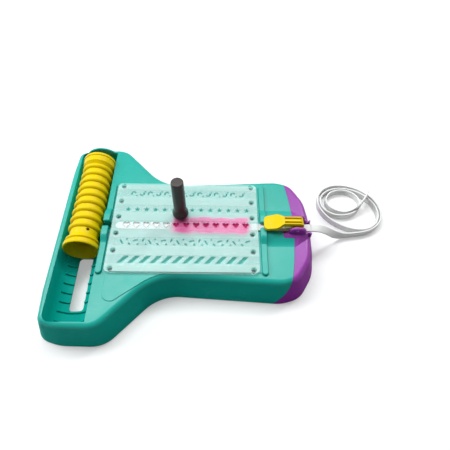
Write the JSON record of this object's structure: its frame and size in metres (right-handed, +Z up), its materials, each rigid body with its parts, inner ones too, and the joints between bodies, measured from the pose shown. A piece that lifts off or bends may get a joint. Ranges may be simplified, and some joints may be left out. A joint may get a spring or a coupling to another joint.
{
  "type": "bracelet stencilling and winding station",
  "caption": "Flat table-top body with a clear stencil plate over a strap, a cam clamp, a grooved winding roller in a trough and an ink dauber.",
  "frame": {"origin": "on the table, under the middle of the body's outline", "axes": "+X along the strap from the roller towards the clamp lever, +Y away from the user, +Z up"},
  "size_m": [0.362, 0.233, 0.0914],
  "materials": {
    "teal_shell": "moulded, satin gloss",
    "purple_cover": "moulded, satin gloss",
    "yellow_parts": "moulded, glossy",
    "clear_plate": "frosted translucent sheet",
    "strap_rubber": "soft white strap",
    "screw_steel": "zinc plated",
    "dauber_black": "moulded, satin",
    "dauber_foam": "ink-soaked foam",
    "foot_rubber": "matt rubber"
  },
  "bodies": {
    "base": {"top_shell": "teal_shell", "bottom_cover": "teal_shell", "end_cover": "purple_cover", "shell_screws": "screw_steel", "cover_screws": "screw_steel", "lever_pin": "screw_steel", "strap": "strap_rubber", "strap_tail": "strap_rubber", "strap_coil": "strap_rubber", "foot_1": "foot_rubber", "foot_2": "foot_rubber", "foot_3": "foot_rubber", "foot_4": "foot_rubber"},
    "lever": {"clamp_lever": "yellow_parts"},
    "roller": {"winding_roller": "yellow_parts"},
    "stencil": {"stencil_plate": "clear_plate"},
    "dauber": {"dauber_barrel": "dauber_black", "dauber_sponge": "dauber_foam"}
  },
  "joints": [
    {"name": "lever_hinge", "type": "hinge", "parent": "base", "child": "lever", "pos_m": [0.116, 0, 0.0421], "axis": [0, 1, 0], "range_deg": [0, 100]},
    {"name": "roller_spin", "type": "hinge", "parent": "base", "child": "roller", "pos_m": [-0.104, 0, 0.0295], "axis": [0, 1, 0], "continuous": true},
    {"name": "plate_lift", "type": "slide", "parent": "base", "child": "stencil", "axis": [0, 0, 1], "range_m": [0, 0.03]},
    {"name": "dauber_lift", "type": "slide", "parent": "stencil", "child": "dauber", "axis": [0, 0, 1], "range_m": [0, 0.03]}
  ]
}
